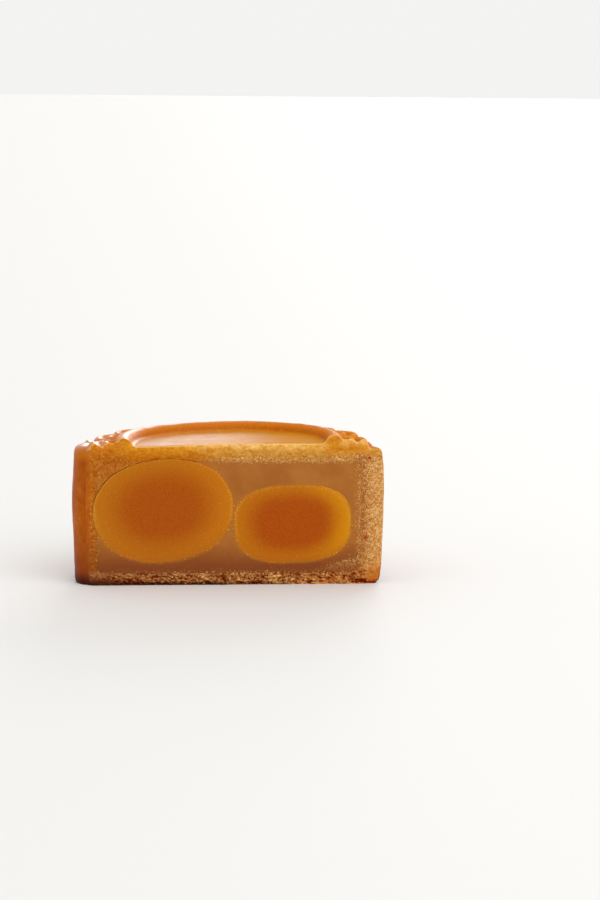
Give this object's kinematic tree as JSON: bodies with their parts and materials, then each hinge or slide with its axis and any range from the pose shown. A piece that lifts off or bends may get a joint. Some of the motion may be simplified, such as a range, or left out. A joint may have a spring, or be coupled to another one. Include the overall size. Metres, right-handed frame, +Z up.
{
  "type": "mooncake half",
  "caption": "Half of a round lobed mooncake, cut upright: moulded pastry crust with a ring and scale border, lotus paste filling and halved salted egg yolks.",
  "frame": {"origin": "on the surface it stands on, under the middle of its box", "axes": "+X along the cut face, +Y from the cut face into the body, +Z up"},
  "size_m": [0.0802, 0.044, 0.0389],
  "materials": {
    "crust": "baked golden pastry, egg-washed with a soft sheen outside, dull open crumb where cut",
    "paste": "smooth dense lotus seed paste, slightly translucent, satin",
    "yolk": "cooked salted egg yolk, fine grain, moist satin, deeper orange in the middle"
  },
  "bodies": {
    "root": {"pastry_crust": "crust", "lotus_paste": "paste", "yolk_large": "yolk", "yolk_small": "yolk"}
  },
  "joints": []
}
